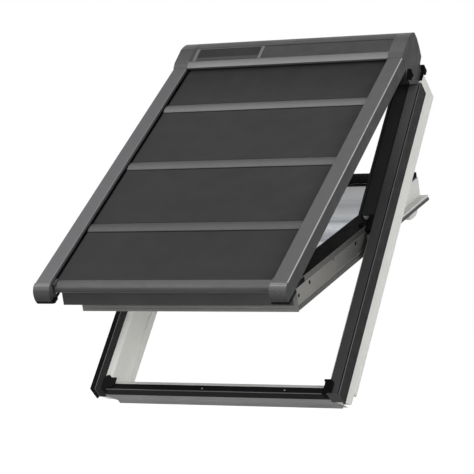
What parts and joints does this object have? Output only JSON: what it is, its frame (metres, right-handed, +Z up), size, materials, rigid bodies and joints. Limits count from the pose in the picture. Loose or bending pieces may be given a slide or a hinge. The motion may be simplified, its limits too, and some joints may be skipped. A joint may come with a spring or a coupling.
{
  "type": "skylight window blind",
  "caption": "Pitched roof window with a tilted centre-pivot sash and an outside blackout shutter on hinged guide rails, its curtain drawn down under a casing with a solar cell.",
  "frame": {"origin": "middle of the room-side face of the frame's bottom member", "axes": "+X to the window's right seen from outside and below, +Y horizontally into the roof, +Z up; the frame lies at a pitch of 54 degrees"},
  "size_m": [0.7914, 1.2379, 1.115],
  "materials": {
    "timber": "white lacquer",
    "cladding": "dark grey coating",
    "black_cladding": "black coating",
    "black_plastic": "matt black",
    "rubber": "dark gasket",
    "alloy": "grey metallic coating",
    "dark_plate": "dark grey",
    "fabric": "coated blackout cloth",
    "glass": "clear sealed unit",
    "solar_glass": "dark cell cover",
    "steel": "zinc plated",
    "sash_grey": "warm grey coating",
    "white": "white lacquer"
  },
  "bodies": {
    "frame": {"frame_bottom_rail": "timber", "frame_top_rail": "timber", "bottom_cladding": "cladding", "top_seal": "black_plastic", "casing_shell": "alloy", "casing_insert": "dark_plate", "solar_panel": "solar_glass", "battery_pack": "black_plastic", "frame_side_left": "timber", "frame_side_right": "timber", "side_cladding_left": "cladding", "side_cladding_right": "cladding", "upper_cover_left": "black_cladding", "upper_cover_right": "black_cladding", "corner_block_left": "black_plastic", "corner_block_right": "black_plastic", "pivot_housing_left": "black_plastic", "pivot_housing_right": "black_plastic", "casing_end_cap_left": "alloy", "casing_end_cap_right": "alloy", "hinge_pin_left": "steel", "hinge_pin_right": "steel", "roller_bracket_left": "steel", "roller_bracket_right": "steel"},
    "sash": {"sash_bottom_rail": "white", "sash_top_rail": "white", "glass_unit": "glass", "sash_apron": "cladding", "sash_end_plate": "sash_grey", "sash_top_cap": "black_cladding", "sash_side_left": "white", "sash_side_right": "white", "sash_top_cover_left": "black_cladding", "sash_top_cover_right": "black_cladding", "sash_side_cover_left": "sash_grey", "sash_side_cover_right": "sash_grey", "sash_gasket_left": "rubber", "sash_gasket_right": "rubber", "pivot_arm_left": "steel", "pivot_arm_right": "steel", "support_shoe_left": "black_plastic", "support_shoe_right": "black_plastic"},
    "shutter_frame": {"slat_1": "alloy", "slat_2": "alloy", "slat_3": "alloy", "fabric_panel_1": "fabric", "fabric_panel_2": "fabric", "fabric_panel_3": "fabric", "fabric_panel_4": "fabric", "guide_rail_left": "alloy", "guide_rail_right": "alloy", "rail_liner_left": "rubber", "rail_liner_right": "rubber", "rail_end_cap_left": "alloy", "rail_end_cap_right": "alloy", "hinge_arm_left": "black_plastic", "hinge_arm_right": "black_plastic"},
    "bottom_bar": {"bottom_bar": "alloy"},
    "roller": {"roller_tube": "steel"},
    "vent_bar": {"vent_bar": "white"}
  },
  "joints": [
    {"name": "sash_pivot", "type": "hinge", "parent": "frame", "child": "sash", "pos_m": [0, 0.23105, 0.51877], "axis": [-1, 0, 0], "range_deg": [-36.5, 0]},
    {"name": "shutter_pivot", "type": "hinge", "parent": "frame", "child": "shutter_frame", "pos_m": [0, 0.47198, 0.97288], "axis": [-1, 0, 0], "range_deg": [-19.9, 0.1]},
    {"name": "bar_slide", "type": "slide", "parent": "shutter_frame", "child": "bottom_bar", "axis": [0, 0.7891, 0.6143], "range_m": [0, 0.98], "deforming": ["fabric_panel_1", "fabric_panel_2", "fabric_panel_3", "fabric_panel_4", "slat_1", "slat_2", "slat_3"]},
    {"name": "roller_spin", "type": "hinge", "parent": "frame", "child": "roller", "pos_m": [0, 0.49056, 1.02737], "axis": [1, 0, 0], "continuous": true},
    {"name": "vent_hinge", "type": "hinge", "parent": "sash", "child": "vent_bar", "pos_m": [0, 0.76628, 0.60155], "axis": [1, 0, 0], "range_deg": [0, 30]}
  ],
  "couplings": [
    {"joint": "shutter_pivot", "follows": "sash_pivot", "ratio": 0.5425},
    {"joint": "roller_spin", "follows": "bar_slide", "rad_per_m": -38}
  ]
}
